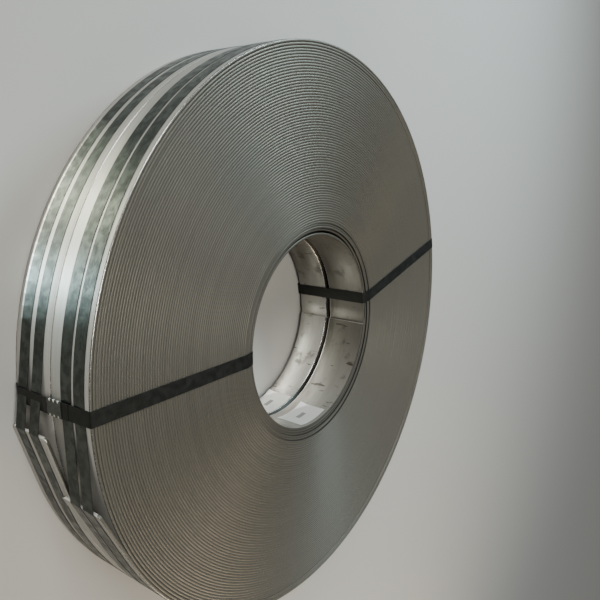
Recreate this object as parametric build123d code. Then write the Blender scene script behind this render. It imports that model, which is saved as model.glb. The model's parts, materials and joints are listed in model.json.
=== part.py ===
"""A pair of slit steel coils, strapped together.

Two coils of the same hot-rolled strip share one axis. Each is wound from one
long strip, so its outline is a spiral that ends in a tail, which springs off
the coil at the left. Round straps hold the tails down, two to a coil, and two
eye straps pass through the bore and bind the pair.

The pair is drawn on edge, as used: front is -Y and up is +Z. Angles are seen
from the front, counted from +X towards +Z, and places along the axis are
counted from the front end of the front coil. It is stored tipped on its back
end, so that it can't roll, and the origin is under the middle of the whole.
"""
import os
from math import acos, cos, radians, sin, sqrt, atan2, degrees

from build123d import *

# Strip and coil, millimetres
bore_radius = 254.0          # wound on a 508 mm mandrel
coil_radius = 718.0          # outer lap, where the tail leaves it
coil_width = 117.0           # width of the slit strip
coil_gap = 3.0               # between the two coils
strip_thickness = 6.0
strip_fill = 0.944           # share of the wound depth that is steel
lap_count = round((coil_radius - bore_radius) * strip_fill / strip_thickness)
lap_pitch = (coil_radius - bore_radius) / lap_count

# Tails: where each one ends, and how much of it has sprung straight
front_tail_angle = 190.5
back_tail_angle = 180.5
tail_length = 150.0
tail_corner_radius = 8.0

# Front end of the front coil: the outer laps stand forward of the rest, and the
# innermost ones have slid back a little more each
proud_laps = 3
face_sink = 1.7
recess_laps = 4
recess_depth = 9.0

# Grooves between the laps, on the outer ends
groove_width = 2.4
groove_depth = 1.6
groove_laps = 18             # laps from one groove to the next

# Inner end of the strip, in the bore
head_angle = -11.5
head_climb = 9.0             # angle over which the next lap climbs onto it

# Straps
strap_width = 32.0
strap_thickness = 0.9
strap_clearance = 0.2
front_strap_places = (31.0, 70.0)
back_strap_places = (157.5, 203.5)
left_eye_angle = 174.8
left_eye_offset = 6.7
right_eye_angle = 9.8
right_eye_offset = -16.0
eye_corner_inset = 8.0       # how far inside the bore the taut end runs aim

# Seals that close the straps
seal_length = 40.0
seal_wall = 1.0
seal_clearance = 0.15
seal_notch_side = 4.5        # square post turned on its corner, which cuts a crimp
seal_notch_pitch = 12.0
strap_overlap = 76.0         # length over which the strap lies double
left_seal_place = 98.0
right_seal_place = 117.0
front_seal_angles = (34.0, 41.0)
back_seal_angles = (37.0, 31.0)

# Paper labels in the bore
label_length = 80.0
label_arc = 26.0
label_thickness = 0.4
label_clearance = 0.6
front_label_place, front_label_angle = 60.0, -90.5
back_label_place, back_label_angle = 184.0, -87.5

back_coil_front = coil_width + coil_gap
pair_width = back_coil_front + coil_width
proud_radius = coil_radius - proud_laps * lap_pitch
recess_radius = bore_radius + recess_laps * lap_pitch
beyond = 60.0                # reach of a cutting block past what it cuts
tip_back = -90.0             # from on edge, as used, to on its back end, as stored


def direction(angle):
    """Unit vector in the end plane."""
    return Vector(cos(radians(angle)), sin(radians(angle)))


def stand(sketch, front, depth):
    """Stand a flat sketch upright at a place on the axis and give it depth."""
    return extrude(Plane.XZ.offset(-front) * sketch, amount=depth, dir=(0, 1, 0))


def ring(inner, outer, front, back, arc=360.0):
    """Ring about the axis, or an arc of one that starts at angle 0 and goes down."""
    middle = Pos((inner + outer) / 2, (front + back) / 2)
    return revolve(middle * Rectangle(outer - inner, back - front), Axis.Y, arc)


class Spiral:
    """Outer edge of one coil: four quarter arcs that lose one lap in a turn."""

    def __init__(self, tail_angle):
        sprung = degrees(atan2(tail_length, coil_radius))
        self.start = tail_angle + sprung
        self.out = direction(self.start)
        step = lap_pitch / 4
        centre = (self.out - direction(self.start + 90)) * (step / 2)
        self.arcs = []
        for quarter in range(4):
            angle = self.start + 90 * quarter
            self.arcs.append((centre, coil_radius - step * quarter, angle))
            centre = centre + direction(angle + 90) * step
        self.tail_root = self.point(0, 0, 0)
        self.tail_tip = self.tail_root + direction(self.start - 90) * tail_length
        last_centre, last_radius, last_angle = self.arcs[3]
        reach = self.tail_tip - last_centre
        tip_angle = degrees(atan2(reach.Y, reach.X))
        self.lift_angle = tip_angle % 360 - degrees(acos(last_radius / reach.length))
        self.lift_turn = self.lift_angle + 360 - last_angle
        self.lift_height = last_centre.dot(direction(self.lift_angle)) + last_radius

    def point(self, quarter, turn, grow):
        """Point on a quarter arc, turn degrees on from its start."""
        centre, radius, angle = self.arcs[quarter]
        return centre + direction(angle + turn) * (radius + grow)

    def quarters(self, grow, last_turn):
        """The four arcs, grown outwards, with the last one cut short."""
        edges = []
        for quarter, turn in enumerate((90, 90, 90, last_turn)):
            ends = [self.point(quarter, part * turn, grow) for part in (0, 0.5, 1)]
            edges.append(ThreePointArc(*ends))
        return edges

    def outline(self):
        """Outline of the coil with its sprung tail."""
        root = self.tail_root - self.out * strip_thickness
        tip = self.tail_tip - self.out * strip_thickness
        edges = self.quarters(0, 90)
        edges += [Line(self.point(3, 90, 0), root), Line(root, tip)]
        edges += [Line(tip, self.tail_tip), Line(self.tail_tip, self.tail_root)]
        return make_face(edges)

    def loop(self, grow):
        """Outline of a taut loop round the coil and over the end of its tail."""
        lifted = direction(self.lift_angle)
        middle = (lifted + self.out).normalized()
        corner = [self.tail_tip + way * grow for way in (lifted, middle, self.out)]
        edges = self.quarters(grow, self.lift_turn)
        edges += [Line(self.point(3, self.lift_turn, grow), corner[0])]
        edges += [ThreePointArc(*corner)]
        edges += [Line(corner[2], self.tail_root + self.out * grow)]
        return make_face(edges)

    def band(self, inner, outer):
        """Flat band between two taut loops."""
        return self.loop(outer) - self.loop(inner)

    def radius_at(self, angle):
        """Distance from the axis to the outer lap, clear of the tail."""
        turn = (angle - self.start) % 360
        centre, radius, start = self.arcs[int(turn // 90)]
        across = centre.dot(direction(angle + 90))
        return centre.dot(direction(angle)) + sqrt(radius**2 - across**2)

    def loop_radius_at(self, angle):
        """Distance from the axis to a taut loop, which leaves the coil near the tail."""
        lifted = (angle - self.lift_angle) % 360
        if lifted < 90:
            return max(self.radius_at(angle), self.lift_height / cos(radians(lifted)))
        return self.radius_at(angle)


def coil(spiral, front, groove_face, groove_way):
    """One slit coil, with grooves between some of its laps on the end that shows."""
    body = stand(spiral.outline() - Circle(bore_radius), front, coil_width)
    grooves = Sketch()
    radius = recess_radius
    while radius < coil_radius - lap_pitch:
        grooves += make_face(Polyline((radius - groove_width / 2, groove_face),
                                      (radius + groove_width / 2, groove_face),
                                      (radius, groove_face + groove_way * groove_depth),
                                      close=True))
        radius += lap_pitch * groove_laps
    body -= revolve(grooves, Axis.Y)

    head_foot = direction(head_angle)
    pocket = Polyline(head_foot * (bore_radius - strip_thickness),
                      head_foot * (bore_radius + strip_thickness),
                      direction(head_angle + head_climb) * bore_radius, close=True)
    body -= stand(make_face(pocket), front - beyond, pair_width + beyond)

    end_edges = []
    for edge in body.edges().filter_by(GeomType.LINE):
        flat = Vector((edge @ 0.5).X, (edge @ 0.5).Z)
        middle = spiral.tail_tip - spiral.out * (strip_thickness / 2)
        if (flat - middle).length < 0.01 and abs((edge % 0.5).Y) < 0.01:
            end_edges.append(edge)
    return fillet(end_edges, tail_corner_radius)


def recess():
    """Step behind the front coil's outer laps, and the cone that its innermost ones leave."""
    inside = bore_radius - lap_pitch
    reach = recess_depth + (recess_depth - face_sink) / recess_laps
    return revolve(make_face(Polyline((inside, 0), (proud_radius, 0),
                                      (proud_radius, face_sink), (recess_radius, face_sink),
                                      (inside, reach), close=True)), Axis.Y)


def round_strap(spiral, place, seal_angle):
    """Strap round one coil, lying double where its seal grips it."""
    strap = spiral.band(strap_clearance, strap_clearance + strap_thickness)
    top = strap_clearance + 2 * strap_thickness
    strap += spiral.band(strap_clearance, top) & seal_window(seal_angle, strap_overlap)
    return stand(strap, place - strap_width / 2, strap_width)


def seal_window(angle, length):
    """Flat window over the outer laps, to cut a short piece out of a loop."""
    return Rot(Z=angle) * Pos(coil_radius, 0) * Rectangle(beyond, length)


def notches(half_width, height):
    """Crimps along both sides of a seal that lies along X."""
    posts = [Pos(x, y, 0) * Rot(Z=45) * Box(seal_notch_side, seal_notch_side, height)
             for x in (-seal_notch_pitch, 0, seal_notch_pitch)
             for y in (-half_width, half_width)]
    return Part() + posts


def round_seal(spiral, place, angle):
    """Seal crimped over a round strap."""
    window = seal_window(angle, seal_length)
    inside = strap_clearance + 2 * strap_thickness + seal_clearance
    half_slot = strap_width / 2 + seal_clearance
    half_width = half_slot + seal_wall
    shell = spiral.band(strap_clearance, inside + seal_wall) & window
    slot = spiral.band(strap_clearance / 2, inside) & window
    seal = stand(shell, place - half_width, 2 * half_width)
    seal -= stand(slot, place - half_slot, 2 * half_slot)
    out = direction(angle)
    foot = Plane(origin=(out.X * coil_radius, place, out.Y * coil_radius),
                 x_dir=(-out.Y, 0, out.X), z_dir=(out.X, 0, out.Y))
    return seal - foot * notches(half_width, beyond)


def hull(points):
    """Corners of the convex hull, in order round it."""
    def side(ordered):
        chain = []
        for point in ordered:
            while len(chain) > 1:
                first, last = chain[-1] - chain[-2], point - chain[-1]
                if first.X * last.Y - first.Y * last.X > 0:
                    break
                chain.pop()
            chain.append(point)
        return chain[:-1]
    ordered = sorted((Vector(*point) for point in points), key=lambda point: (point.X, point.Y))
    return side(ordered) + side(ordered[::-1])


class EyeStrap:
    """Strap through the bore and over both coils, in a plane along the axis."""

    def __init__(self, angle, offset, seal_place):
        way = direction(angle)
        normal = direction(angle + 90)
        self.plane = Plane(origin=(normal.X * offset, 0, normal.Y * offset),
                           x_dir=(way.X, 0, way.Y), z_dir=(normal.X, 0, normal.Y))
        self.seal_place = seal_place
        points = []
        for spiral, front, places in ((front_spiral, 0, front_strap_places),
                                      (back_spiral, back_coil_front, back_strap_places)):
            reach = max(self.along(spiral.radius_at, angle, offset + part * strap_width / 2)
                        for part in (-1, 0, 1))
            points += [(reach, front), (reach, front + coil_width)]
            reach = max(self.along(spiral.loop_radius_at, angle, offset + part * strap_width / 2)
                        for part in (-1, 0, 1))
            reach += strap_clearance + strap_thickness
            for place in places:
                points += [(reach, place - strap_width / 2), (reach, place + strap_width / 2)]
        edge_offset = abs(offset) + strap_width / 2
        for edge, place in ((bore_radius, recess_depth), (recess_radius, face_sink),
                            (proud_radius, 0), (bore_radius, pair_width)):
            points.append((sqrt(edge**2 - edge_offset**2), place))
        aim = bore_radius - eye_corner_inset
        points += [(aim, recess_depth), (aim, pair_width)]
        self.corners = hull(points)

    def along(self, radius_at, angle, offset):
        """How far out the surface is, along the strap's plane, at an offset from the axis."""
        place = angle
        for _ in range(4):
            radius = radius_at(place)
            reach = sqrt(radius**2 - offset**2)
            place = angle + degrees(atan2(offset, reach))
        return reach

    def seal_plane(self):
        """Plane on the strap's underside at the seal, with X along the strap."""
        for first, last in zip(self.corners, self.corners[1:] + self.corners[:1]):
            outside = min(first.X, last.X) > coil_radius / 2
            if outside and (first.Y - self.seal_place) * (last.Y - self.seal_place) < 0:
                run = (last - first).normalized()
                middle = first + run * ((self.seal_place - first.Y) / run.Y)
                out = Vector(run.Y, -run.X)
                middle = middle + out * strap_clearance
                return self.plane * Plane(origin=middle, x_dir=run, z_dir=out).location
        raise ValueError("the seal is off the strap's outer run")

    def strap(self):
        """The strap, bent to the bore's curve inside it."""
        taut = make_face(Polyline(*self.corners, close=True))
        wide = offset(taut, strap_clearance + strap_thickness)
        band = wide - offset(taut, strap_clearance)
        strap = extrude(self.plane * band, strap_width / 2, both=True)
        inside = bore_radius - strap_clearance - strap_thickness
        strap -= ring(0, inside, -beyond, pair_width + beyond)
        low = recess_depth - strap_clearance - strap_thickness
        high = pair_width + strap_clearance + strap_thickness
        lining = ring(inside, bore_radius - strap_clearance, low, high)
        window = self.plane * Pos(bore_radius, pair_width / 2, 0) * Box(
            beyond, 2 * pair_width, strap_width)
        strap += lining & window
        overlap = Pos(0, 0, 1.5 * strap_thickness) * Box(
            strap_overlap, strap_width, strap_thickness)
        return strap + self.seal_plane() * overlap

    def seal(self):
        """Seal folded round the doubled strap."""
        slot_height = 2 * (strap_thickness + seal_clearance)
        slot_width = strap_width + 2 * seal_clearance
        width = slot_width + 2 * seal_wall
        seal = Box(seal_length, width, slot_height + 2 * seal_wall)
        seal -= Box(seal_length, slot_width, slot_height)
        seal -= notches(width / 2, beyond)
        return self.seal_plane() * Pos(0, 0, strap_thickness) * seal


def label(place, angle):
    """Paper label stuck to the bottom of the bore."""
    outer = bore_radius - label_clearance
    sheet = ring(outer - label_thickness, outer, place - label_length / 2,
                 place + label_length / 2, label_arc)
    return Rot(Y=-(angle + label_arc / 2)) * sheet


front_spiral = Spiral(front_tail_angle)
back_spiral = Spiral(back_tail_angle)
left_eye = EyeStrap(left_eye_angle, left_eye_offset, left_seal_place)
right_eye = EyeStrap(right_eye_angle, right_eye_offset, right_seal_place)

pieces = {
    "front_coil": coil(front_spiral, 0, face_sink, 1) - recess(),
    "back_coil": coil(back_spiral, back_coil_front, pair_width, -1),
    "left_eye_strap": left_eye.strap(),
    "right_eye_strap": right_eye.strap(),
    "left_eye_seal": left_eye.seal(),
    "right_eye_seal": right_eye.seal(),
    "front_label": label(front_label_place, front_label_angle),
    "back_label": label(back_label_place, back_label_angle),
}
for coil_name, spiral, places, angles in (
        ("front", front_spiral, front_strap_places, front_seal_angles),
        ("back", back_spiral, back_strap_places, back_seal_angles)):
    side_names = ("outer", "inner") if coil_name == "front" else ("inner", "outer")
    for side_name, place, angle in zip(side_names, places, angles):
        name = f"{coil_name}_{side_name}"
        pieces[name + "_strap"] = round_strap(spiral, place, angle)
        pieces[name + "_seal"] = round_seal(spiral, place, angle)

stored = {name: Rot(X=tip_back) * shape for name, shape in pieces.items()}
boxes = [shape.bounding_box() for shape in stored.values()]
low = [min(getattr(box.min, way) for box in boxes) for way in "XYZ"]
high = [max(getattr(box.max, way) for box in boxes) for way in "XYZ"]
move = Pos(-(low[0] + high[0]) / 2, -(low[1] + high[1]) / 2, -low[2])
print("the coils' axis is moved by", move.position)
os.makedirs("parts", exist_ok=True)
for name, shape in stored.items():
    export_step(move * shape, f"parts/{name}.step")
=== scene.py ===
"""Visual model of two slit steel coils, strapped together and stored on their back ends.

Each coil is one long strip, wound from its sprung tail at the left to its inner end in the
bore. Angles are in degrees, seen from the front and counted from +X towards +Y, and places
along the axis are metres behind the front end of the front coil.
"""
import json
from math import acos, atan2, cos, degrees, exp, pi, radians, sin, sqrt

import bmesh
import bpy
from bpy.props import FloatProperty, FloatVectorProperty, IntProperty, PointerProperty
from mathutils import Matrix, Vector


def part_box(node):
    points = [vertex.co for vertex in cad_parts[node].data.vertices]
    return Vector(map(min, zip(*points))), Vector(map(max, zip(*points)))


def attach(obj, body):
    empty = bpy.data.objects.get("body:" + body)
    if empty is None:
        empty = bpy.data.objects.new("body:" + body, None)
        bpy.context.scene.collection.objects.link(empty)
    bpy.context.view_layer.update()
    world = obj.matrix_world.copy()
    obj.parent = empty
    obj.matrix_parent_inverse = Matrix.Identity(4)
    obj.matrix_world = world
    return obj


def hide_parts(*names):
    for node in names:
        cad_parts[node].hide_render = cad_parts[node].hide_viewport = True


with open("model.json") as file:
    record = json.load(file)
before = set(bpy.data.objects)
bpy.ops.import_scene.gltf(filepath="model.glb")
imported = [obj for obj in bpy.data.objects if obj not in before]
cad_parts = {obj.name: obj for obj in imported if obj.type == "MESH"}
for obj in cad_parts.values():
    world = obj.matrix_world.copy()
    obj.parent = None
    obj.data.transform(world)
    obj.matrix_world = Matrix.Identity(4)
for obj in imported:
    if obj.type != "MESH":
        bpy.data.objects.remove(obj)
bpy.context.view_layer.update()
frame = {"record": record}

bl_info = {
    "name": "Slit Steel Coil Pair",
    "version": (1, 0, 0),
    "blender": (4, 5, 0),
    "location": "View3D > Sidebar > Coil Pair",
    "description": "Builds two strapped coils of slit steel strip, with their stage",
    "category": "Add Mesh",
}

eye = frame["record"]["mounts"][0]
axis_x, axis_y = eye["pos_m"][:2]
front_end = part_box("front_coil")[1].z
front_width = front_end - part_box("front_coil")[0].z
joint_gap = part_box("front_coil")[0].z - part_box("back_coil")[1].z


def length_field(name, description, default):
    return FloatProperty(name=name, description=description, default=default,
                         unit="LENGTH", precision=4)


def angle_field(name, description, default):
    return FloatProperty(name=name, description=description, default=radians(default),
                         subtype="ANGLE")


def colour_field(name, description, default):
    return FloatVectorProperty(name=name, description=description, default=default,
                               subtype="COLOR")


class CoilSizes(bpy.types.PropertyGroup):
    bore_radius: length_field("Bore radius", "Radius of the mandrel that the coils were wound on",
                              eye["dims"]["r_mm"] / 1000)
    coil_radius: length_field("Coil radius", "Outer lap, where the tail leaves it", 0.7178)
    coil_width: length_field("Strip width", "Width of the slit strip", front_width)
    coil_gap: length_field("Gap", "Gap between the two coils", joint_gap)
    strip_thickness: length_field("Strip thickness", "Thickness of the steel strip", 0.006)
    laps: IntProperty(
        name="Laps", description="Whole laps between the tail and the inner end", default=72)
    front_tail: angle_field("Front tail", "Angle at which the front coil's tail ends", 190.5)
    back_tail: angle_field("Back tail", "Angle at which the back coil's tail ends", 180.5)
    tail_length: length_field("Tail length", "Length of strip that has sprung straight", 0.15)
    tail_corner: length_field("Tail corner", "Radius of the tail's two corners", 0.008)
    head: angle_field("Inner end", "Angle at which the strip ends in the bore", 348.5)
    proud_laps: FloatProperty(
        name="Proud laps", description="Outer laps that stand forward of the rest", default=2.75)
    slack: length_field("Slack", "Extra room between the outermost laps, taken together", 0.0013)
    slack_laps: FloatProperty(
        name="Slack laps", description="Outer laps that lie loosely on each other", default=3.2)
    sink: length_field("Sink", "How far the other laps lie behind the outer ones", 0.0015)
    telescope: length_field("Telescope", "How far the innermost laps have slid back", 0.0095)
    telescope_laps: FloatProperty(
        name="Telescoped laps", description="Laps that have slid back", default=5.3)
    bore_shift: length_field("Bore shift", "How far the joint lies further back in the bore",
                             0.0055)
    crescent: length_field("Crescent gap", "Widest gap behind the innermost lap", 0.005)


class StrapSizes(bpy.types.PropertyGroup):
    width: length_field("Width", "Width of the steel strapping", 0.032)
    thickness: length_field("Thickness", "Thickness of the steel strapping", 0.0009)
    clearance: length_field("Clearance", "Space between a strap and what it lies on", 0.0002)
    overlap: length_field("Overlap", "Length over which a strap lies double", 0.076)
    seal_wall: length_field("Seal wall", "Thickness of the seals' steel", 0.001)


class CoilFinish(bpy.types.PropertyGroup):
    edge: colour_field("Slit edge", "Dull cut edges of the strip", (0.145, 0.136, 0.115))
    face: colour_field("Strip face", "Rolled face of the strip", (0.46, 0.445, 0.41))
    strap: colour_field("Strapping", "Blued and waxed steel strapping", (0.052, 0.06, 0.054))
    eye_strap: colour_field("Eye strapping", "Dull black steel strapping", (0.012, 0.0125, 0.011))
    seal: colour_field("Seals", "Dark plated seals", (0.07, 0.075, 0.068))
    paper: colour_field("Labels", "White paper labels", (0.93, 0.915, 0.87))
    floor: colour_field("Floor", "Plain floor under the coils", (0.58, 0.565, 0.53))


# Corners of one lap's slit edge: how far in from the strip's outer face and how far back.
# The first one lies in the gap to the lap outside it.
CORNERS = ((0.0, 0.0), (0.0, 0.001), (0.0011, 0.0001), (0.0047, 0.0), (0.006, 0.0009))
# Painted shade that the gap puts on each corner, and how far across the edge the corner lies
GAP_PAINTED_SHADE = (1.0, 0.3, 0.0, 0.0, 0.28)
ACROSS = (0.5, 0.0, 0.15, 0.8, 1.0)
SLID_PAINTED_SHADE = 0.35  # painted shade that slid laps add to their corners
HIDDEN_PAINTED_SHADE = 0.8  # painted shade on the plain end, seen through the joint
LAP_STEPS = 216  # steps in a turn of the strip
GAP_DEPTH = 0.0017  # from a lap's edge down into the gap beside it
GAP_OPENING = 0.0005  # widest gap that isn't made deeper
GAP_FALL = 7  # how much deeper a wider gap gets, as a multiple of what it has opened
EDGE_WAVE = 0.0001  # unevenness of the laps' edges
SLID_WAVE = 0.0013  # unevenness of the slid laps' edges
SINK_LAPS = 0.5  # laps in which the strip passes from the proud ones to the sunk ones
HEAD_LAPS = 4  # laps over which the step at the inner end fades
HEAD_CLIMB = 0.025  # turns in which the lap over the inner end climbs onto it
CLIMB_SPREAD = 0.9  # how much longer that climb gets with each lap
HEAD_CUT = 0.0002  # turns between the two sides of the cut at the inner end
LEAST_CUT = 1e-7  # square metres, smallest face that counts as part of that cut
CRESCENT_LAPS = 15  # laps that the crescent gap pushes outwards
CRESCENT_START = 8  # degrees, where the crescent gap begins
CRESCENT_SPAN = 120  # degrees
TAIL_LIFT = 13.8  # degrees from where a taut loop meets the tail's end to where it leaves the coil
BORE_TILT = 0.004  # how unevenly the innermost laps have slid, from top to bottom
BORE_GAP = 0.0105  # how much wider the joint is at the bore
CHAMFER = 0.0006  # worn corners of the plain end
JOINT_LIP = 0.001  # how far the outermost lap stands past the plain end
DISH = 0.036  # width of the slid laps on the plain end
TAIL_STEPS = 7
CORNER_TURNS = (25, 45, 62, 76, 86)  # steps round the tail's corners, in degrees
TAIL_WEAR = 0.0008  # length of the tail's end that is worn thinner

# Points of a coil's section past its laps, from the bore to the tread
PLAIN_SIDE = ("wall", "inner", "dish", "third", "third_lip", "second", "second_lip", "outer",
              "round", "lip")
# Order of a coil's materials
SLIT_EDGE, STRIP_FACE, SHEARED_END, RUBBED_EDGE = range(4)

# Name, whether it is on the back coil, place, and angle of its seal
ROUND_STRAPS = (("front_outer", False, 0.031, 34.0), ("front_inner", False, 0.070, 41.0),
                ("back_inner", True, 0.1575, 37.0), ("back_outer", True, 0.2035, 31.0))
# Name, angle, distance to the side of the axis, and place of its seal
EYE_STRAPS = (("left_eye", 174.8, 0.0067, 0.098), ("right_eye", 9.8, -0.016, 0.117))
STRAP_SOFT = 0.22  # share of a strap's thickness that its soft edges take up
STRAP_STEP = 1.5  # degrees from one row of a round strap to the next
TIP_STEPS = (0.04, 0.12, 0.25, 0.5)  # degrees from the tail's end to the rows on its two sides
TIP_ROOM = 0.6  # degrees on both sides of the tail's end that other rows keep out of
TIP_SOFT = 0.06  # degrees over which a loop's radius is averaged, to soften its bend there
RISE_START = 357.5  # degrees from a strap's start to where it rises onto itself
RISE_SPAN = 2.4  # degrees
DOUBLE_ROOM = 0.00003  # between the two layers of a doubled strap
EYE_BEND = 0.003  # length of strap that a bend takes up
PROUD_WIDTH = 0.02  # from the tread to where an eye strap leaves the proud laps
SLID_WIDTH = 0.027  # from the bore to where an eye strap passes over the slid laps


def smooth(share):
    """Rise from 0 to 1 with level ends."""
    share = min(max(share, 0.0), 1.0)
    return share * share * (3 - 2 * share)


def stand(angle, radius, place):
    """Point of the stored pair, from an angle, a radius and a place along the axis."""
    turn = radians(angle)
    return Vector((axis_x + radius * cos(turn), axis_y + radius * sin(turn),
                   front_end - place))


class Winding:
    """Where the strip of one coil lies, from its tail root to its inner end."""

    def __init__(self, sizes, tail, far):
        self.sizes = sizes
        self.far = far
        self.tail = degrees(tail)
        self.start = self.tail + degrees(atan2(sizes.tail_length, sizes.coil_radius))
        wall = sizes.coil_radius - sizes.bore_radius
        self.pitch = (wall - sizes.strip_thickness - sizes.slack) / sizes.laps
        self.head_turn = (degrees(sizes.head) - self.start) % 360 / 360
        self.last = sizes.laps + self.head_turn

    def angle(self, turn):
        return self.start + 360 * turn

    def outer(self, lap, turn):
        """Radius of the strip's outer face."""
        from_head = max(self.sizes.laps - 1 - lap, 0)
        share = exp(-from_head / HEAD_LAPS)
        climb = min(HEAD_CLIMB * (1 + CLIMB_SPREAD * from_head), 1 - self.head_turn)
        wound = lap + (1 - share) * turn + share * smooth((turn - self.head_turn) / climb)
        radius = self.sizes.coil_radius - self.pitch * wound
        radius -= self.sizes.slack * smooth(wound / self.sizes.slack_laps)
        from_gap = self.sizes.laps - 2 - lap
        if not self.far and 0 <= from_gap < CRESCENT_LAPS:
            along = (self.angle(turn) % 360 - CRESCENT_START) / CRESCENT_SPAN
            if 0 < along < 1:
                open_gap = self.sizes.crescent * sin(pi * along) ** 1.5
                radius += open_gap * (1 - from_gap / CRESCENT_LAPS)
        return radius

    def sunk(self, lap, turn):
        """How far the strip's edge lies behind the end of the coil."""
        wound = lap + turn
        sizes = self.sizes
        depth = sizes.sink * smooth((wound - sizes.proud_laps) / SINK_LAPS)
        depth += EDGE_WAVE * (1 + 0.5 * sin(2.1 * wound) + 0.5 * sin(5.3 * wound + 1.0))
        slid = (wound - self.last + sizes.telescope_laps) / sizes.telescope_laps
        if slid > 0:
            depth += (sizes.telescope - sizes.sink) * slid ** 0.95
            depth += SLID_WAVE * sin(pi * min(slid, 1)) * sin(2.6 * wound)
        return depth

    def place(self, depth):
        """Place along the axis, from a depth below the end that shows."""
        sizes = self.sizes
        if self.far:
            return 2 * sizes.coil_width + sizes.coil_gap - depth
        return depth

    def bore_shift(self, angle):
        """What the bore adds to the plain end's depth, as both coils' innermost laps slid back."""
        shift = self.sizes.bore_shift - BORE_TILT * sin(radians(angle))
        return -shift - BORE_GAP if self.far else shift

    def wall(self, turn):
        """Radius of the bore."""
        lap = self.sizes.laps if turn <= self.head_turn else self.sizes.laps - 1
        return self.outer(lap, turn) - self.sizes.strip_thickness

    def loop(self, angle):
        """Radius of a taut loop round the coil and over its tail."""
        angle = angle % 360
        turn = (angle - self.start) % 360 / 360
        radius = self.outer(0, turn)
        reach = self.sizes.coil_radius
        tip = reach / cos(radians(self.start - self.tail))
        lift_turn = (self.tail - TAIL_LIFT - self.start) % 360 / 360
        height = self.outer(0, lift_turn)
        lift = self.tail - degrees(acos(height / tip))
        if self.tail <= angle <= self.start:
            radius = max(radius, reach / cos(radians(self.start - angle)))
        if lift <= angle <= self.tail:
            radius = max(radius, height / cos(radians(angle - lift)))
        return radius


def roll_sheet(points, steps, seat, closed=True):
    """Shape a sheet of faces: seat(point, step) says where each vertex goes.

    Points run round the section and steps along it; a closed sheet is welded into a tube.
    """
    bm = bmesh.new()
    number = bm.verts.layers.int.new("point")
    count = bm.verts.layers.int.new("step")
    bmesh.ops.create_grid(bm, x_segments=points, y_segments=steps, size=1)
    for vert in bm.verts:
        point = round((vert.co.x + 1) / 2 * points)
        if closed:
            point %= points
        vert[number] = point
        vert[count] = round((vert.co.y + 1) / 2 * steps)
        vert.co = seat(point, vert[count])
    if closed:
        bmesh.ops.remove_doubles(bm, verts=bm.verts, dist=0.00002)
    return bm


def open_rims(bm):
    return [edge for edge in bm.edges if edge.is_boundary]


def cap_ends(bm):
    """Close each open rim with a face."""
    rims = open_rims(bm)
    if rims:
        bmesh.ops.contextual_create(bm, geom=rims)
    left = open_rims(bm)
    if left:
        bmesh.ops.holes_fill(bm, edges=left, sides=0)


def finish(bm, name, materials, crease=35):
    """Turn a closed mesh into a finished piece, which replaces the node in its name."""
    replaced = name.rsplit("_", 1)[0]
    bmesh.ops.recalc_face_normals(bm, faces=bm.faces)
    mesh = bpy.data.meshes.new(name)
    bm.to_mesh(mesh)
    bm.free()
    for material in materials:
        mesh.materials.append(material)
    mesh.shade_smooth()
    mesh.set_sharp_from_angle(angle=radians(crease))
    piece = bpy.data.objects.new(name, mesh)
    bpy.context.scene.collection.objects.link(piece)
    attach(piece, "root")
    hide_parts(replaced)
    return piece


def lap_turns(winding):
    """Shares of a turn at which a coil is stepped, with the inner end cut square."""
    turns = [step / LAP_STEPS for step in range(LAP_STEPS + 1)]
    turns = [turn for turn in turns if abs(turn - winding.head_turn) > 0.4 / LAP_STEPS]
    return sorted(turns + [winding.head_turn, winding.head_turn + HEAD_CUT])


def lap_point(winding, lap, corner, turn):
    """Radius and place of a corner of one lap, on the end that shows."""
    sizes = winding.sizes
    if lap == sizes.laps and turn > winding.head_turn:
        lap, corner = sizes.laps - 1, len(CORNERS) - 1
    outer = winding.outer(lap, turn)
    sunk = winding.sunk(lap, turn)
    inwards, back = CORNERS[corner]
    if corner:
        return outer - inwards, winding.place(sunk + back)
    above = winding.outer(lap - 1, turn) - sizes.strip_thickness
    gap = above - outer
    depth = max(sunk, winding.sunk(lap - 1, turn)) + GAP_DEPTH
    depth += GAP_FALL * max(gap - GAP_OPENING, 0)
    if lap == 0:
        # nothing lies outside the outermost lap, so its gap opens only towards its end
        gap *= turn ** 8
    return outer + gap / 2, winding.place(depth)


def plain_point(winding, where, turn):
    """Radius and place of a point of the bore, the plain end or the tread's worn rim."""
    sizes = winding.sizes
    width = sizes.coil_width
    shift = winding.bore_shift(winding.angle(turn))
    wall, third = winding.wall(turn), winding.outer(2, 0)
    second, rim = winding.outer(1, turn), winding.outer(0, turn)
    radius, depth = {"wall": (wall, width - 2 * CHAMFER + shift),
                     "inner": (wall + CHAMFER, width + shift),
                     "dish": (sizes.bore_radius + DISH, width),
                     "third": (third - CHAMFER, width),
                     "third_lip": (third, width - CHAMFER),
                     "second": (second - CHAMFER, width),
                     "second_lip": (second, width - CHAMFER),
                     "outer": (rim - 0.0016, width + JOINT_LIP),
                     "round": (rim - CHAMFER, width + 0.0004),
                     "lip": (rim, width - 0.001)}[where]
    return radius, winding.place(depth)


def wind_coil(name, winding, materials):
    """One coil: its laps on the end that shows, its tread, tail, bore and inner end."""
    turns = lap_turns(winding)
    lap_points = [(lap, corner) for lap in range(winding.sizes.laps + 1)
                  for corner in range(len(CORNERS))]

    def seat(point, step):
        if point < len(lap_points):
            radius, place = lap_point(winding, *lap_points[point], turns[step])
        else:
            where = PLAIN_SIDE[point - len(lap_points)]
            radius, place = plain_point(winding, where, turns[step])
        return stand(winding.angle(turns[step]), radius, place)

    bm = roll_sheet(len(lap_points) + len(PLAIN_SIDE), len(turns) - 1, seat)
    paint_gap_shade(bm, winding, lap_points)
    spring_tail(bm, winding)
    sort_faces(bm, winding, turns, len(lap_points))
    return finish(bm, name, materials, crease=52)


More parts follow.
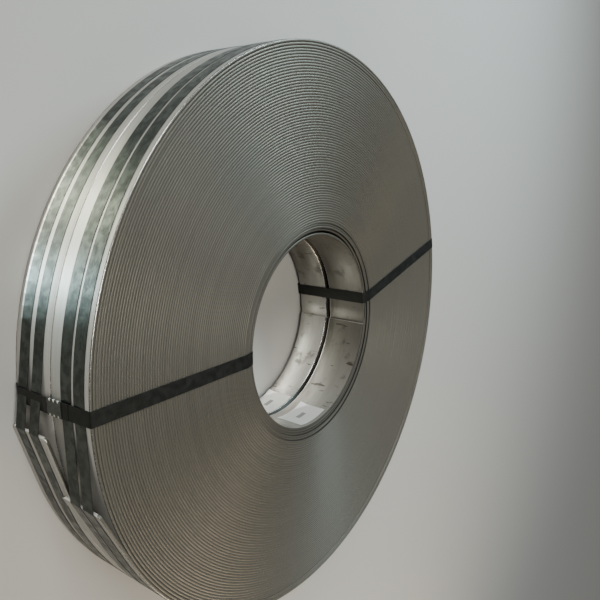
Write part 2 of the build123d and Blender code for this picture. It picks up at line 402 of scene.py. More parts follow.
def paint_gap_shade(bm, winding, lap_points):
    """Note at each vertex the painted shade that the gap puts on it, and how far across its lap it
    lies.
    """
    number = bm.verts.layers.int["point"]
    gap_painted_shade = bm.verts.layers.float.new("gap")
    across = bm.verts.layers.float.new("across")
    first_slid = winding.sizes.laps - winding.sizes.telescope_laps
    for vert in bm.verts:
        if vert[number] < len(lap_points):
            lap, corner = lap_points[vert[number]]
            slid = corner in (1, 4) and lap > first_slid
            # painted shade in the gap beside each corner
            vert[gap_painted_shade] = GAP_PAINTED_SHADE[corner] + (SLID_PAINTED_SHADE if slid else 0)
            vert[across] = ACROSS[corner]
        elif PLAIN_SIDE[vert[number] - len(lap_points)] in ("inner", "dish"):
            # painted shade on the plain end, in the joint between the coils
            vert[gap_painted_shade] = HIDDEN_PAINTED_SHADE


def sort_faces(bm, winding, turns, lap_side):
    """Choose the faces of the slit edge, the strip's face, its cut ends and its worn edges.

    The points before lap_side are on the laps, and the others are on the plain side.
    """
    number = bm.verts.layers.int["point"]
    count = bm.verts.layers.int["step"]
    rim, wall, inner = (lap_side + PLAIN_SIDE.index(where) for where in ("round", "wall", "inner"))
    head = turns.index(winding.head_turn)
    last_lap = lap_side - len(CORNERS)
    for face in bm.faces:
        points = {vert[number] for vert in face.verts}
        kinds = {point < lap_side for point in points}
        face.material_index = STRIP_FACE if len(kinds) == 2 else SLIT_EDGE
        if rim in points or {wall, inner} <= points or {1, 2} <= points:
            face.material_index = RUBBED_EDGE
        at_head = {vert[count] for vert in face.verts} == {head, head + 1}
        cut = at_head and min(points) >= last_lap and face.calc_area() > LEAST_CUT
        if cut or len(face.verts) > 4:
            face.material_index = SHEARED_END


def spring_tail(bm, winding):
    """Draw the open end of the outer lap out into the sprung tail and close it."""
    sizes = winding.sizes
    centre = stand(0, 0, 0)
    out = stand(winding.start, 1, 0) - centre
    way = stand(winding.start - 90, 1, 0) - centre
    inwards = bm.verts.layers.float.new("inwards")
    place = bm.verts.layers.float.new("place")
    rim = open_rims(bm)
    for vert in {vert for edge in rim for vert in edge.verts}:
        vert[inwards] = sizes.coil_radius - (vert.co - centre).dot(out)
        vert[place] = front_end - vert.co.z
    places = [vert[place] for edge in rim for vert in edge.verts]
    middle = (min(places) + max(places)) / 2
    straight = sizes.tail_length - sizes.tail_corner
    reaches = [straight * step / TAIL_STEPS for step in range(1, TAIL_STEPS + 1)]
    reaches += [straight + sizes.tail_corner * sin(radians(turn)) for turn in CORNER_TURNS]
    reaches.append(sizes.tail_length)
    for reach in reaches:
        drawn = bmesh.ops.extrude_edge_only(bm, edges=rim)["geom"]
        rim = [item for item in drawn if isinstance(item, bmesh.types.BMEdge) and item.is_boundary]
        past = max(reach - straight, 0)
        corner = sizes.tail_corner - sqrt(max(sizes.tail_corner**2 - past**2, 0))
        thin = TAIL_WEAR / 2 * smooth((reach - sizes.tail_length + TAIL_WEAR) / TAIL_WEAR)
        for vert in {vert for edge in rim for vert in edge.verts}:
            side = 1 if vert[place] > middle else -1
            depth = min(vert[inwards], sizes.strip_thickness)
            depth += thin if depth < sizes.strip_thickness / 2 else -thin
            across = vert[place] - side * corner
            vert.co = centre + out * (sizes.coil_radius - depth) + way * reach
            vert.co.z = front_end - across
    bmesh.ops.contextual_create(bm, geom=rim)


def strap_section(straps):
    """Corners of a strap's section, as shares of its width and thickness from underneath."""
    soft = STRAP_SOFT * straps.thickness
    half = straps.width / 2
    top = straps.thickness
    return [(-half, soft), (-half, top - soft), (-half + soft, top), (half - soft, top),
            (half, top - soft), (half, soft), (half - soft, 0), (-half + soft, 0)]


def round_strap(name, winding, straps, place, seal_angle, material):
    """Strap round one coil, its end lying double under the seal."""
    section = strap_section(straps)
    lap = degrees(straps.overlap / winding.sizes.coil_radius)
    first = seal_angle - lap / 2
    angles = [first + STRAP_STEP * step for step in range(int((360 + lap) / STRAP_STEP))]
    angles += [first + 360 + lap]
    tip = (winding.tail - first) % 360 + first
    angles = [angle for angle in angles if abs(angle - tip) > TIP_ROOM]
    angles += [tip + side * step for step in TIP_STEPS for side in (-1, 1)]
    angles.sort()

    def seat(point, step):
        across, up = section[point]
        angle = angles[step]
        radius = sum(winding.loop(angle + nudge) for nudge in (-TIP_SOFT, 0, TIP_SOFT)) / 3
        rise = smooth((angle - first - RISE_START) / RISE_SPAN) * (straps.thickness + DOUBLE_ROOM)
        return stand(angle, radius + straps.clearance + rise + up, place + across)

    bm = roll_sheet(len(section), len(angles) - 1, seat)
    cap_ends(bm)
    return finish(bm, name, [material])


def arch(corners, soft):
    """Corners of a taut path with each bend made a short curve."""
    path = []
    for before, here, after in zip(corners, corners[1:], corners[2:]):
        into = (here - before).normalized() * min(soft, (here - before).length * 0.45)
        out = (after - here).normalized() * min(soft, (after - here).length * 0.45)
        for share in (0, 0.25, 0.5, 0.75, 1):
            path.append(here - into * (1 - share)**2 + out * share**2)
    return [corners[0]] + path + [corners[-1]]


def taut(points):
    """The points of a run that a taut strap touches, from its first to its last."""
    chain = []
    for point in points:
        while len(chain) > 1:
            first, last = chain[-1] - chain[-2], point - chain[-1]
            if first.x * last.y - first.y * last.x > 0:
                break
            chain.pop()
        chain.append(point)
    return chain


def eye_path(windings, straps, angle, seal_place):
    """Underside of an eye strap as radius and place, and where and which way its seal lies.

    The path starts under the seal and ends over its own start, on top of it.
    """
    sizes = windings[0].sizes
    end = 2 * sizes.coil_width + sizes.coil_gap
    clear = straps.clearance
    tread = []
    for winding, front in zip(windings, (0, sizes.coil_width + sizes.coil_gap)):
        coil = winding.outer(0, (angle - winding.start) % 360 / 360) + clear
        over = winding.loop(angle) + straps.thickness + 2 * clear
        tread += [(coil, front), (coil, front + sizes.coil_width)]
        tread += [(over, place + side * straps.width / 2) for _, far, place, _ in ROUND_STRAPS
                  if far == winding.far for side in (-1, 1)]
    tread = taut(sorted((Vector(reach) for reach in tread), key=lambda reach: reach.y))
    turn = (angle - windings[0].start) % 360 / 360
    rim = windings[0].sunk(sizes.laps - 1, turn)
    bore = sizes.bore_radius - clear - straps.thickness
    tread[0].y = -clear
    tread[-1].y = end + clear
    face = [Vector((sizes.coil_radius - PROUD_WIDTH, -clear)),
            Vector((sizes.bore_radius + SLID_WIDTH, sizes.sink - clear)),
            Vector((sizes.bore_radius + 0.001, rim - clear)),
            Vector((bore, rim + 0.003))]
    back = [Vector((bore, end - 0.003)), Vector((sizes.bore_radius + 0.002, end + clear))]
    low, high = next((low, high) for low, high in zip(tread, tread[1:])
                     if low.y < seal_place < high.y)
    run = (high - low).normalized()
    seat = low + run * ((seal_place - low.y) / run.y)
    start = seat + run * straps.overlap / 2
    stop = seat - run * straps.overlap / 2
    before = [reach for reach in tread if reach.y < start.y][::-1]
    after = [reach for reach in tread if reach.y > start.y][::-1]
    path = [start] + before + face + back + after + [start, stop]
    return arch(path, EYE_BEND), seat, run


def eye_point(angle, reach, flat):
    """Point of an eye strap, at a radius and a place, lying flat to the side of the axis."""
    way = Vector((cos(radians(angle)), sin(radians(angle))))
    side = Vector((-way.y, way.x))
    along = sqrt(reach.x**2 - flat**2)
    return Vector((axis_x + way.x * along + side.x * flat,
                   axis_y + way.y * along + side.y * flat, front_end - reach.y))


def eye_strap(name, windings, straps, angle, offset, seal_place, material):
    """Strap through the bore and over both coils, in a plane along the axis."""
    section = strap_section(straps)
    path = eye_path(windings, straps, angle, seal_place)[0]
    outwards = []
    for index in range(len(path)):
        along = path[min(index + 1, len(path) - 1)] - path[max(index - 1, 0)]
        along.normalize()
        outwards.append(Vector((-along.y, along.x)))
    doubled = len(path) - 2

    def seat(point, step):
        across, up = section[point]
        if step >= doubled:
            up += straps.thickness + DOUBLE_ROOM
        return eye_point(angle, path[step] + outwards[step] * up, offset + across)

    bm = roll_sheet(len(section), len(path) - 1, seat)
    cap_ends(bm)
    return finish(bm, name, [material])


# Places along a seal, in millimetres from its middle
SEAL_STEPS = (-20, -19.6, -15.2, -13.6, -12, -10.4, -8.8, -3.2, -1.6, 0,
              1.6, 3.2, 8.8, 10.4, 12, 13.6, 15.2, 19.6, 20)
SEAL_ROOM = 0.00015  # between a seal and its strap
SEAL_ROUND = 0.0009  # radius of a seal's bends
FOOT_REACH = 0.007  # from a strap's middle to the edge of a folded foot
SEAL_CROWN = 0.0001  # bulge of a seal's top
CRIMP_PITCH = 0.012
CRIMP_REACH = 0.0032
CRIMP_DEPTH = 0.0011
CRIMP_RISE = 0.0003  # how far a crimp lifts the edges of the seal's top
CRIMP_SIDE = 0.002  # width of those edges, in from the strap's own


def seal_section(straps, folded):
    """Section of a seal over a doubled strap: top, two sides and, if folded, two feet."""
    inner = straps.width / 2 + SEAL_ROOM
    outer = inner + straps.seal_wall
    under_top = 2 * straps.thickness + SEAL_ROOM
    top = under_top + straps.seal_wall
    near, bend = 0.3 * SEAL_ROUND, outer - SEAL_ROUND
    if folded:
        low = -SEAL_ROOM
        bottom = low - straps.seal_wall
        half = [(FOOT_REACH, low), (FOOT_REACH, bottom), (bend, bottom),
                (outer - near, bottom + near), (outer, bottom + SEAL_ROUND)]
        lower = [(inner, low)]
    else:
        half = [(inner, 0.0), (outer, 0.0)]
        lower = []
    half += [(outer, top - SEAL_ROUND), (outer - near, top - near), (bend, top),
             (0.6 * outer, top + SEAL_CROWN)]
    inside = lower[:] + [(inner, under_top)]
    return (half + [(-across, up) for across, up in reversed(half)]
            + [(-across, up) for across, up in inside] + inside[::-1])


def crimp(along):
    """How much a seal is pinched at a place along it."""
    nearest = min(max(round(along / CRIMP_PITCH), -1), 1) * CRIMP_PITCH
    return max(1 - abs(along - nearest) / CRIMP_REACH, 0)


def crimped_seal(name, straps, folded, lay, material):
    """Seal with three crimps a side; lay(along, across, up) says where a point of it goes."""
    section = seal_section(straps, folded)
    edge = straps.width / 2

    def seat(point, step):
        across, up = section[point]
        along = SEAL_STEPS[step] / 1000
        pinch = crimp(along)
        if abs(across) > edge - CRIMP_SIDE:
            across -= pinch * (CRIMP_DEPTH if across > 0 else -CRIMP_DEPTH)
            if up > 2 * straps.thickness:
                up += CRIMP_RISE * pinch
        return lay(along, across, up)

    bm = roll_sheet(len(section), len(SEAL_STEPS) - 1, seat)
    number = bm.verts.layers.int["point"]
    count = bm.verts.layers.int["step"]
    bare = bm.verts.layers.float.new("bare")
    for vert in bm.verts:
        if abs(section[vert[number]][0]) > edge:
            vert[bare] = crimp(SEAL_STEPS[vert[count]] / 1000)
    cap_ends(bm)
    return finish(bm, name, [material])


def round_seal(name, winding, straps, place, seal_angle, material):
    """Seal on a round strap, with no feet, because it is pressed flat on the coil."""
    def lay(along, across, up):
        angle = seal_angle + degrees(along / winding.sizes.coil_radius)
        return stand(angle, winding.loop(angle) + straps.clearance + up, place + across)

    return crimped_seal(name, straps, False, lay, material)


def eye_seal(name, windings, straps, angle, offset, seal_place, material):
    """Seal on an eye strap, folded under it."""
    middle, run = eye_path(windings, straps, angle, seal_place)[1:]
    out = Vector((run.y, -run.x))

    def lay(along, across, up):
        return eye_point(angle, middle + run * along + out * up, offset + across)

    return crimped_seal(name, straps, True, lay, material)


# Name, place and angle of each label's middle
LABELS = (("front", 0.060, -90.5), ("back", 0.184, -87.5))
LABEL_LENGTH = 0.08  # along the axis
LABEL_ARC = 26.0  # degrees round the bore
LABEL_THICKNESS = 0.0003
LABEL_ROOM = 0.0008  # from the bore's radius to the sheet, before it gets its thickness
LABEL_STEPS = 16
CORNER_LIFT = 0.004
END_LIFT = 0.0009


def bore_label(name, sizes, place, angle, material):
    """Paper label stuck to the bottom of the bore, with one corner and one end lifting."""
    stuck = sizes.bore_radius - LABEL_ROOM

    def seat(point, step):
        across, along = point / LABEL_STEPS, step / LABEL_STEPS
        lift = CORNER_LIFT * smooth((across + along - 1.72) / 0.28)
        lift += END_LIFT * smooth((0.2 - along) / 0.2)
        return stand(angle + LABEL_ARC * (along - 0.5), stuck - lift,
                     place + LABEL_LENGTH * (across - 0.5))

    bm = roll_sheet(LABEL_STEPS, LABEL_STEPS, seat, closed=False)
    number = bm.verts.layers.int["point"]
    count = bm.verts.layers.int["step"]
    paper_x = bm.verts.layers.float.new("paper_x")
    paper_y = bm.verts.layers.float.new("paper_y")
    for vert in bm.verts:
        vert[paper_x] = vert[number] / LABEL_STEPS
        vert[paper_y] = vert[count] / LABEL_STEPS
    bmesh.ops.solidify(bm, geom=bm.faces[:], thickness=LABEL_THICKNESS)
    return finish(bm, name, [material])


def add(tree, kind, inputs=None, **settings):
    """Add a node, with its settings, and set or link its inputs."""
    node = tree.nodes.new(kind)
    for name, value in settings.items():
        setattr(node, name, value)
    for name, value in (inputs or {}).items():
        socket = node.inputs[name]
        if isinstance(value, bpy.types.NodeSocket):
            tree.links.new(value, socket)
        else:
            socket.default_value = value
    return node


def maths(tree, operation, *values):
    node = add(tree, "ShaderNodeMath", dict(enumerate(values)), operation=operation)
    return node.outputs[0]


def times(tree, *values):
    return maths(tree, "MULTIPLY", *values)


def spread(tree, value, low, high, to_low=0.0, to_high=1.0):
    """Spread a range of a value over another range, with soft ends."""
    node = add(tree, "ShaderNodeMapRange",
               {"Value": value, "From Min": low, "From Max": high,
                "To Min": to_low, "To Max": to_high}, interpolation_type="SMOOTHSTEP")
    return node.outputs["Result"]


def mixed(tree, factor, first, second, share=1.0):
    """Mix two colours by a share of a factor."""
    if share != 1:
        factor = times(tree, factor, share)
    node = add(tree, "ShaderNodeMix", data_type="RGBA")
    for socket, value in zip((node.inputs[0], node.inputs[6], node.inputs[7]),
                             (factor, first, second)):
        if isinstance(value, bpy.types.NodeSocket):
            tree.links.new(value, socket)
        else:
            socket.default_value = value
    return node.outputs[2]


def shade(colour, factor=1.0):
    """Colour with its alpha, made lighter or darker."""
    return (*(channel * factor for channel in colour), 1.0)


def from_axis(tree, vector):
    """Coordinates of a vector centred on the axis, and its distance from the axis."""
    parts = add(tree, "ShaderNodeSeparateXYZ", {"Vector": vector}).outputs
    squares = [times(tree, parts[name], parts[name]) for name in "XY"]
    return parts, maths(tree, "SQRT", maths(tree, "ADD", *squares))


def read_attribute(tree, name):
    return add(tree, "ShaderNodeAttribute", attribute_name=name).outputs["Fac"]


def link(tree, shader, **outputs):
    """Link varying values to the shader's sockets."""
    for name, output in outputs.items():
        tree.links.new(output, shader.inputs[name.replace("_", " ")])


def new_group(name, inputs):
    """Node group with a vector and some numbers going in and one value coming out."""
    tree = bpy.data.node_groups.new(name, "ShaderNodeTree")
    tree.interface.new_socket("Vector", in_out="INPUT", socket_type="NodeSocketVector")
    for label, value in inputs.items():
        socket = tree.interface.new_socket(label, in_out="INPUT", socket_type="NodeSocketFloat")
        socket.default_value = value
    tree.interface.new_socket("Value", in_out="OUTPUT", socket_type="NodeSocketFloat")
    return tree, add(tree, "NodeGroupInput").outputs


def ring_grain_group():
    """Grain that runs round the coil's axis, without a seam."""
    tree, given = new_group("ring grain", {"Along": 4.0, "Across": 160.0, "Detail": 3.0})
    parts, radius = from_axis(tree, given["Vector"])
    cosine, sine = (times(tree, maths(tree, "DIVIDE", parts[name], radius),
                          given["Along"]) for name in "XY")
    across = times(tree, maths(tree, "ADD", radius, parts["Z"]), given["Across"])
    along = add(tree, "ShaderNodeCombineXYZ", {"X": cosine, "Y": sine, "Z": across})
    grain = add(tree, "ShaderNodeTexNoise", {"Vector": along.outputs[0], "Scale": 1.0,
                                             "Detail": given["Detail"], "Roughness": 0.6})
    add(tree, "NodeGroupOutput", {"Value": grain.outputs["Fac"]})
    return tree


def blotch_group():
    """Soft-edged blotches of a chosen size and amount."""
    tree, given = new_group("blotches", {"Scale": 20.0, "Low": 0.5, "High": 0.7})
    cloud = add(tree, "ShaderNodeTexNoise", {"Vector": given["Vector"], "Scale": given["Scale"],
                                             "Detail": 4.0, "Roughness": 0.55})
    add(tree, "NodeGroupOutput",
        {"Value": spread(tree, cloud.outputs["Fac"], given["Low"], given["High"])})
    return tree


GROUPS = {"ring grain": ring_grain_group, "blotches": blotch_group}


def use_group(tree, name, vector, **inputs):
    """Use one of the groups that the materials share, making it the first time."""
    node = tree.nodes.new("ShaderNodeGroup")
    node.node_tree = bpy.data.node_groups.get(name) or GROUPS[name]()
    tree.links.new(vector, node.inputs["Vector"])
    for name, value in inputs.items():
        node.inputs[name].default_value = value
    return node.outputs["Value"]


def new_material(name, **sockets):
    """Material, its node tree, its shader and a vector centred on the coils' axis."""
    material = bpy.data.materials.new(name)
    material.use_nodes = True
    tree = material.node_tree
    shader = tree.nodes["Principled BSDF"]
    for socket, value in sockets.items():
        shader.inputs[socket.replace("_", " ")].default_value = value
    place = add(tree, "ShaderNodeTexCoord").outputs["Object"]
    centred = add(tree, "ShaderNodeMapping", {"Vector": place, "Location": (-axis_x, -axis_y, 0)})
    return material, tree, shader, centred.outputs["Vector"]


def bump(tree, shader, height, strength, distance):
    node = add(tree, "ShaderNodeBump", {"Height": height, "Strength": strength,
                                        "Distance": distance})
    link(tree, shader, Normal=node.outputs["Normal"])


# brown film and painted shade on the bore wall
BORE_FILM_AND_SHADE = (0.07, 0.06, 0.044, 1)
# dark tone of the smudges, the dashes and the band by the joint
BORE_DARK = (0.032, 0.027, 0.02, 1)
BARE_METAL = (0.8, 0.79, 0.74, 1)
GREY_INK = (0.12, 0.115, 0.1, 1)


def slit_edge_material(colours):
    """Dull slit edges: each lap nearly the same grey, with painted shade between the laps."""
    material, tree, shader, vector = new_material("slit_edge", Metallic=0.55)
    laps = use_group(tree, "ring grain", vector, Along=0.7, Across=157.0, Detail=1.0)
    fine = use_group(tree, "ring grain", vector, Along=500.0, Across=900.0, Detail=3.0)
    cloud = use_group(tree, "blotches", vector, Scale=2.5, Low=0.35, High=0.7)
    edge = colours.edge
    colour = mixed(tree, spread(tree, laps, 0.3, 0.7), shade(edge, 0.93), shade(edge, 1.07))
    warmer = (edge[0] * 1.02, edge[1] * 0.97, edge[2] * 0.86, 1)
    colour = mixed(tree, cloud, colour, warmer, 0.5)
    across = read_attribute(tree, "across")
    colour = mixed(tree, spread(tree, across, 0.55, 0.85), colour, shade(edge, 1.2))
    colour = mixed(tree, spread(tree, fine, 0.5, 0.75), colour, shade(edge, 0.55), 0.35)
    # painted shade: the slid laps round the bore made darker, as in their recess
    slid = spread(tree, from_axis(tree, vector)[1], 0.293, 0.283, 0.0, 0.25)
    colour = mixed(tree, slid, colour, shade(edge, 0.7))
    # painted shade: darker in the gaps between the laps and in the joint between the coils
    gap = read_attribute(tree, "gap")
    colour = mixed(tree, spread(tree, gap, 0.15, 0.8), colour, shade(edge, 0.15))
    link(tree, shader, Base_Color=colour, Roughness=spread(tree, fine, 0.3, 0.7, 0.36, 0.54))
    bump(tree, shader, fine, 0.3, 0.0002)
    return material


def strip_face_material(colours):
    """Rolled strip face: satin grain; in the bore film, painted shade, smudges and a dark band."""
    material, tree, shader, vector = new_material("strip_face", Metallic=0.35)
    grain = use_group(tree, "ring grain", vector, Along=6.0, Across=420.0, Detail=4.0)
    bands = use_group(tree, "ring grain", vector, Along=2.0, Across=45.0, Detail=2.0)
    face = colours.face
    colour = mixed(tree, spread(tree, bands, 0.3, 0.7), shade(face, 0.9), shade(face, 1.06))
    colour = mixed(tree, spread(tree, grain, 0.4, 0.7), colour, shade(face, 0.6), 0.22)
    parts, radius = from_axis(tree, vector)
    in_bore = maths(tree, "LESS_THAN", radius, 0.3)
    joint = front_end - front_width
    front_side = maths(tree, "GREATER_THAN", parts["Z"], joint - 0.007)
    # brown film and painted shade: the upper bore of both coils darker, and most of the front
    # one's
    film_and_painted_shade = times(tree, spread(tree, parts["Y"], -0.14, 0.18, 0.0, 0.9),
                 spread(tree, bands, 0.2, 0.6, 0.7, 1.0))
    low_film_and_painted_shade = spread(tree, parts["Y"], -0.24, -0.06, 0.45, 0.86)
    film_and_painted_shade = maths(tree, "MAXIMUM", film_and_painted_shade, times(tree, front_side, low_film_and_painted_shade))
    colour = mixed(tree, times(tree, film_and_painted_shade, in_bore), colour, BORE_FILM_AND_SHADE)
    # a darker band on the front coil's side of the joint, smudges, and dashes drawn along the axis
    by_joint = spread(tree, parts["Z"], joint + 0.03, joint + 0.004)
    joint_band = times(tree, times(tree, by_joint, front_side),
                 spread(tree, bands, 0.35, 0.6, 0.1, 0.7))
    smudge = use_group(tree, "blotches", vector, Scale=24.0, Low=0.54, High=0.72)
    drawn = add(tree, "ShaderNodeMapping", {"Vector": vector, "Scale": (1.0, 1.0, 0.22)})
    dashes = use_group(tree, "blotches", drawn.outputs["Vector"],
                       Scale=75.0, Low=0.64, High=0.7)
    marks = maths(tree, "MAXIMUM", times(tree, smudge, 0.7),
                  times(tree, dashes, 0.9))
    darkened = times(tree, maths(tree, "MAXIMUM", marks, joint_band), in_bore)
    colour = mixed(tree, darkened, colour, BORE_DARK)
    link(tree, shader, Base_Color=colour, Roughness=spread(tree, grain, 0.3, 0.7, 0.34, 0.46))
    bump(tree, shader, grain, 0.12, 0.0002)
    return material


def bright_steel_material(name, colours, metallic):
    """Bare bright steel, at the strip's cut ends and along its rubbed edges."""
    material, tree, shader, vector = new_material(name, Metallic=metallic)
    fine = use_group(tree, "blotches", vector, Scale=700.0, Low=0.4, High=0.7)
    face = colours.face
    colour = mixed(tree, fine, shade(face, 1.9), shade(face, 1.5))
    link(tree, shader, Base_Color=colour, Roughness=spread(tree, fine, 0.0, 1.0, 0.22, 0.36))
    return material


def strapping_material(name, colours, dull):
    """Blued strapping under wax: cloudy blue-black, scuffed where it has rubbed."""
    material, tree, shader, vector = new_material(name, Metallic=0.0 if dull else 0.9)
    shader.inputs["Specular IOR Level"].default_value = 0.2 if dull else 0.5
    cloud = use_group(tree, "blotches", vector, Scale=58.0, Low=0.34, High=0.66)
    patch = use_group(tree, "blotches", vector, Scale=20.0, Low=0.38, High=0.62)
    scuff = use_group(tree, "ring grain", vector, Along=30.0, Across=900.0, Detail=3.0)
    strap = colours.eye_strap if dull else colours.strap
    colour = mixed(tree, cloud, shade(strap, 0.66), shade(strap, 1.4))
    colour = mixed(tree, patch, colour, shade(strap, 0.6), 0.4)
    colour = mixed(tree, spread(tree, scuff, 0.52, 0.75), colour, shade(strap, 2.0), 0.55)
    low, high = (0.52, 0.66) if dull else (0.43, 0.32)
    link(tree, shader, Base_Color=colour, Roughness=spread(tree, cloud, 0.0, 1.0, low, high))
    bump(tree, shader, patch, 0.3, 0.001)
    return material


def seal_material(colours):
    """Dark seal, with bare metal where the crimps have torn its coat."""
    material, tree, shader, vector = new_material("crimped_seal", Metallic=0.6)
    fine = use_group(tree, "blotches", vector, Scale=160.0, Low=0.35, High=0.7)
    bare = read_attribute(tree, "bare")
    colour = mixed(tree, fine, shade(colours.seal, 0.7), shade(colours.seal, 1.3))
    colour = mixed(tree, spread(tree, bare, 0.15, 0.6), colour, BARE_METAL)
    link(tree, shader, Base_Color=colour, Roughness=spread(tree, fine, 0.0, 1.0, 0.35, 0.55))
    bump(tree, shader, fine, 0.2, 0.0003)
    return material


def paper_material(colours):
    """White paper with a plain grey block printed near its middle."""
    material, tree, shader, vector = new_material("label_paper", Roughness=0.75)
    fibre = use_group(tree, "blotches", vector, Scale=900.0, Low=0.3, High=0.7)
    stain = use_group(tree, "blotches", vector, Scale=30.0, Low=0.5, High=0.8)
    inside = 1.0
    for label, low, high in (("paper_x", 0.44, 0.6), ("paper_y", 0.36, 0.66)):
        reach = read_attribute(tree, label)
        inside = times(tree, inside, maths(tree, "GREATER_THAN", reach, low))
        inside = times(tree, inside, maths(tree, "LESS_THAN", reach, high))
    paper = colours.paper
    colour = mixed(tree, fibre, shade(paper, 0.95), shade(paper, 1.03))
    colour = mixed(tree, stain, colour, shade(paper, 0.75), 0.3)
    printed = times(tree, inside, spread(tree, fibre, 0.0, 1.0, 0.6, 0.75))
    link(tree, shader, Base_Color=mixed(tree, printed, colour, GREY_INK))
    bump(tree, shader, fibre, 0.1, 0.0001)
    return material


def both_windings(scene):
    sizes = scene.coil_sizes
    return Winding(sizes, sizes.front_tail, False), Winding(sizes, sizes.back_tail, True)


class COILPAIR_OT_coils(bpy.types.Operator):
    """Wind the two coils from their strips"""
    bl_idname = "coil_pair.coils"
    bl_label = "Coils"

    def execute(self, context):
        colours = context.scene.coil_finish
        materials = [slit_edge_material(colours), strip_face_material(colours),
                     bright_steel_material("sheared_end", colours, 0.3),
                     bright_steel_material("rubbed_edge", colours, 1.0)]
        for name, winding in zip(("front_coil_strip", "back_coil_strip"),
                                 both_windings(context.scene)):
            wind_coil(name, winding, materials)
        return {"FINISHED"}


class COILPAIR_OT_round_straps(bpy.types.Operator):
    """Put two straps round each coil"""
    bl_idname = "coil_pair.round_straps"
    bl_label = "Round straps"

    def execute(self, context):
        straps = context.scene.strap_sizes
        material = strapping_material("round_strapping", context.scene.coil_finish, False)
        windings = both_windings(context.scene)
        for name, far, place, seal_angle in ROUND_STRAPS:
            round_strap(name + "_strap_band", windings[far], straps, place, seal_angle, material)
        return {"FINISHED"}


class COILPAIR_OT_eye_straps(bpy.types.Operator):
    """Pass two straps through the bore and over both coils"""
    bl_idname = "coil_pair.eye_straps"
    bl_label = "Eye straps"

    def execute(self, context):
        straps = context.scene.strap_sizes
        material = strapping_material("eye_strapping", context.scene.coil_finish, True)
        windings = both_windings(context.scene)
        for name, angle, offset, seal_place in EYE_STRAPS:
            eye_strap(name + "_strap_band", windings, straps, angle, offset, seal_place, material)
        return {"FINISHED"}


class COILPAIR_OT_seals(bpy.types.Operator):
    """Crimp a seal over the doubled end of each strap"""
    bl_idname = "coil_pair.seals"
    bl_label = "Seals"

    def execute(self, context):
        straps = context.scene.strap_sizes
        material = seal_material(context.scene.coil_finish)
        windings = both_windings(context.scene)
        for name, far, place, seal_angle in ROUND_STRAPS:
            round_seal(name + "_seal_crimped", windings[far], straps, place, seal_angle, material)
        for name, angle, offset, seal_place in EYE_STRAPS:
            eye_seal(name + "_seal_crimped", windings, straps, angle, offset, seal_place, material)
        return {"FINISHED"}


class COILPAIR_OT_labels(bpy.types.Operator):
    """Stick a paper label in the bore of each coil"""
    bl_idname = "coil_pair.labels"
    bl_label = "Labels"

    def execute(self, context):
        material = paper_material(context.scene.coil_finish)
        for name, place, angle in LABELS:
            bore_label(name + "_label_sheet", context.scene.coil_sizes, place, angle, material)
        return {"FINISHED"}


# Lamps: name, place, aim, both sides, power and colour
LAMPS = (("raking", (2.3, 2.05, 2.4), (0, 0, 0.2), (1.2, 0.9), 98, (0.71, 0.91, 1.0)),
         ("high_left", (-1.6, 0.6, 3.2), (0, 0, 0.2), (0.9, 0.9), 47, (1.0, 0.975, 0.89)),
         ("overhead", (0.3, -0.8, 3.6), (0, 0, 0.2), (0.9, 0.9), 8, (1.0, 0.97, 0.9)),
         ("warm", (0.2, -3.0, 1.5), (0, 0, 0.1), (2.4, 1.0), 44, (1.0, 0.83, 0.62)))
# Cards that lie on the floor and show in the satin steel: angle, power and colour. Those in
# the bore lie apart. Those by the tread are steps of a row that runs from one to the next.
BORE_CARDS = ((-84, 0.05, (1.0, 0.97, 0.86)), (-60, 0.115, (1.0, 0.97, 0.86)),
              (-36, 0.09, (0.97, 1.0, 0.88)), (-14, 0.005, (0.97, 1.0, 0.88)))
TREAD_CARDS = ((126, 0.0, (0.9, 0.95, 0.75)), (134, 0.035, (0.9, 0.95, 0.75)),
               (141, 0.145, (0.97, 1.0, 0.78)), (145, 0.12, (0.97, 1.0, 0.8)),
               (149, 0.075, (0.95, 0.97, 0.85)), (156, 0.23, (0.75, 0.97, 1.0)),
               (160, 0.06, (0.75, 0.97, 1.0)), (163, 0.0, (0.75, 0.97, 1.0)))
CARD_STEP = 2  # degrees from one card of the row to the next
CARD_HEIGHT = 0.012
# Distance of the cards from the axis, and their two sides
BORE_CARD_PLACE, BORE_CARD_SIDES = 0.2, (0.08, 0.06)
TREAD_CARD_PLACE, TREAD_CARD_SIDES = 0.8, (0.028, 0.2)
SUN_WAY = (0.25, -0.85, -0.46)
CAMERA_PLACE = (-1.26777, 0.55328, 1.10288)
CAMERA_AXES = ((0.63005, -0.05612, 0.77453), (0.25225, 0.95809, -0.13578),
               (-0.73445, 0.28092, 0.61780))


def placed(name, data, place, axes):
    """Put a lamp or camera in the scene, its own three axes pointing as given."""
    thing = bpy.data.objects.new(name, data)
    turned = Matrix(axes).transposed().to_4x4()
    thing.matrix_world = Matrix.Translation(place) @ turned
    bpy.context.scene.collection.objects.link(thing)
    return thing


def add_lamp(name, place, way, side, sizes, power, colour):
    """Area lamp that shines one way, its first side turned as given."""
    lamp = bpy.data.lights.new(name, "AREA")
    lamp.shape = "RECTANGLE"
    lamp.size, lamp.size_y = sizes
    lamp.energy = power
    lamp.color = colour
    back = -Vector(way).normalized()
    side = (Vector(side) - back * back.dot(Vector(side))).normalized()
    placed(name, lamp, place, (side, back.cross(side), back)).visible_camera = False


def add_card(angle, distance, sizes, power, colour):
    """Lamp that lies on the floor beside the axis and shines up."""
    turn = radians(angle)
    place = (distance * cos(turn), distance * sin(turn), CARD_HEIGHT)
    add_lamp("card", place, (0, 0, 1), (-sin(turn), cos(turn), 0), sizes, power, colour)


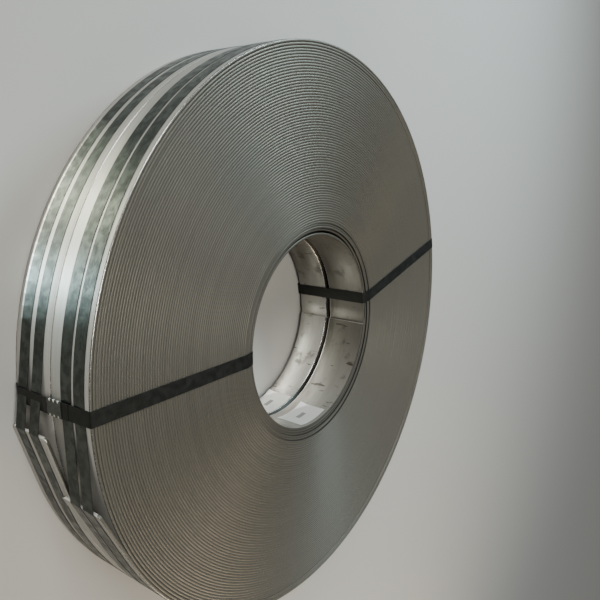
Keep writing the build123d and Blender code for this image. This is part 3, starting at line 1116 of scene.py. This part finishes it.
def add_cards():
    for angle, power, colour in BORE_CARDS:
        add_card(angle, BORE_CARD_PLACE, BORE_CARD_SIDES, power, colour)
    for low, high in zip(TREAD_CARDS, TREAD_CARDS[1:]):
        for angle in range(low[0] + low[0] % CARD_STEP, high[0], CARD_STEP):
            share = (angle - low[0]) / (high[0] - low[0])
            power = low[1] + (high[1] - low[1]) * share
            if power > 0:
                colour = Vector(low[2]).lerp(Vector(high[2]), share)
                add_card(angle, TREAD_CARD_PLACE, TREAD_CARD_SIDES, power, colour)


def add_daylight(scene):
    """Soft sun and a dim, even world."""
    lamp = bpy.data.lights.new("sun", "SUN")
    lamp.energy = 1.6
    lamp.angle = radians(28)
    lamp.color = (0.97, 0.99, 1.0)
    sun = bpy.data.objects.new("sun", lamp)
    sun.rotation_euler = Vector(SUN_WAY).to_track_quat("-Z", "Y").to_euler()
    scene.collection.objects.link(sun)
    world = bpy.data.worlds.new("studio")
    world.use_nodes = True
    background = world.node_tree.nodes["Background"]
    background.inputs["Color"].default_value = (0.8, 0.82, 0.83, 1)
    background.inputs["Strength"].default_value = 0.08
    scene.world = world


def lay_floor(scene):
    bm = bmesh.new()
    bmesh.ops.create_grid(bm, x_segments=4, y_segments=4, size=12)
    mesh = bpy.data.meshes.new("floor")
    bm.to_mesh(mesh)
    bm.free()
    floor = bpy.data.objects.new("floor", mesh)
    scene.collection.objects.link(floor)
    colour = shade(scene.coil_finish.floor)
    mesh.materials.append(new_material("floor", Base_Color=colour, Roughness=0.7)[0])


class COILPAIR_OT_stage(bpy.types.Operator):
    """Lay the floor and set the lights and the camera"""
    bl_idname = "coil_pair.stage"
    bl_label = "Stage"

    def execute(self, context):
        scene = context.scene
        lay_floor(scene)
        for name, place, aim, sizes, power, colour in LAMPS:
            add_lamp(name, place, Vector(aim) - Vector(place), (0, 1, 0), sizes, power, colour)
        add_cards()
        add_daylight(scene)
        camera = bpy.data.cameras.new("camera")
        camera.sensor_width = 36
        camera.lens = 37.477
        camera.shift_x = 0.0774
        camera.shift_y = -0.0019
        scene.camera = placed("camera", camera, CAMERA_PLACE, CAMERA_AXES)
        return {"FINISHED"}


class COILPAIR_PT_sidebar(bpy.types.Panel):
    """The steps that build the pair"""
    bl_idname = "COILPAIR_PT_sidebar"
    bl_label = "Coil pair"
    bl_space_type = "VIEW_3D"
    bl_region_type = "UI"
    bl_category = "Coil Pair"

    def draw(self, context):
        for step in steps:
            self.layout.operator(step.bl_idname)


steps = (COILPAIR_OT_coils, COILPAIR_OT_round_straps, COILPAIR_OT_eye_straps, COILPAIR_OT_seals,
         COILPAIR_OT_labels, COILPAIR_OT_stage)
classes = (CoilSizes, StrapSizes, CoilFinish, *steps, COILPAIR_PT_sidebar)


def register():
    for cls in classes:
        bpy.utils.register_class(cls)
    bpy.types.Scene.coil_sizes = PointerProperty(type=CoilSizes)
    bpy.types.Scene.strap_sizes = PointerProperty(type=StrapSizes)
    bpy.types.Scene.coil_finish = PointerProperty(type=CoilFinish)


def unregister():
    del bpy.types.Scene.coil_finish
    del bpy.types.Scene.strap_sizes
    del bpy.types.Scene.coil_sizes
    for cls in reversed(classes):
        bpy.utils.unregister_class(cls)


def main():
    register()
    bpy.ops.coil_pair.coils()
    bpy.ops.coil_pair.round_straps()
    bpy.ops.coil_pair.eye_straps()
    bpy.ops.coil_pair.seals()
    bpy.ops.coil_pair.labels()
    bpy.ops.coil_pair.stage()


if __name__ == "__main__":
    main()
